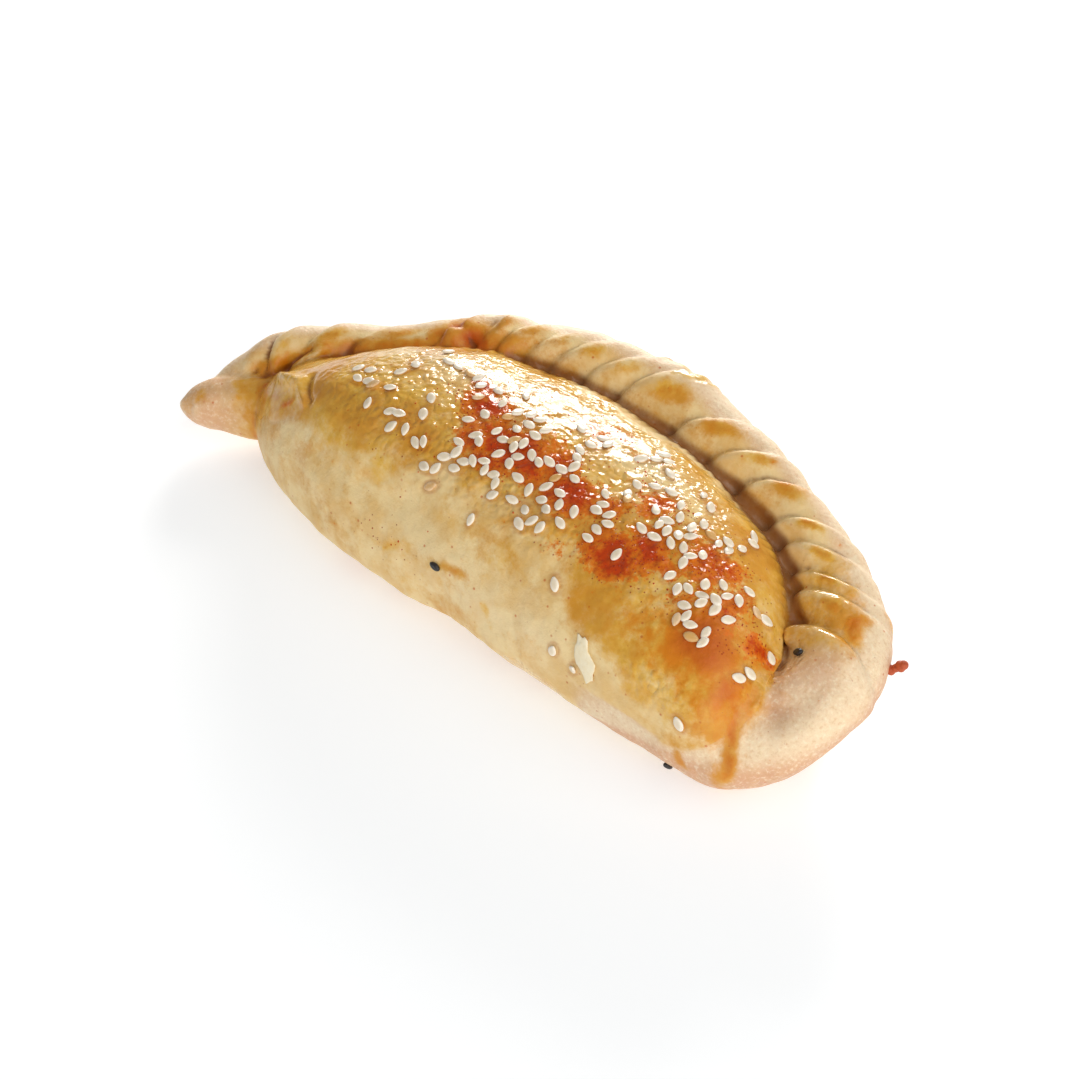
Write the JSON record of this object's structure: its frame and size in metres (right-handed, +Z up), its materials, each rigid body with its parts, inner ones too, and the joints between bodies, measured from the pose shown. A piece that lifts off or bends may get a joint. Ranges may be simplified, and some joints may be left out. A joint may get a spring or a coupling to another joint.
{
  "type": "empanada",
  "caption": "Baked half-moon pastry with a plump glazed dome, a front fold and a twisted rope crimp along the back, sprinkled with seeds and red spice.",
  "frame": {"origin": "centre of the bounding box's bottom face, on the surface the pastry rests on", "axes": "+Z up; +X along the pastry's length, from the pale pointed end towards the end with the smooth flap; +Y from the folded front edge towards the rope crimp"},
  "size_m": [0.1696, 0.0714, 0.0374],
  "materials": {
    "crust": "baked dough, egg-glazed and satin to glossy, pale cream to golden with orange-brown patches and red spice",
    "sesame": "hulled sesame seeds, pale ivory and slightly waxy",
    "nigella": "nigella seeds, matt black",
    "crumb": "toasted orange-brown crumbs and red spice grains"
  },
  "bodies": {
    "root": {"pastry": "crust"}
  },
  "joints": []
}
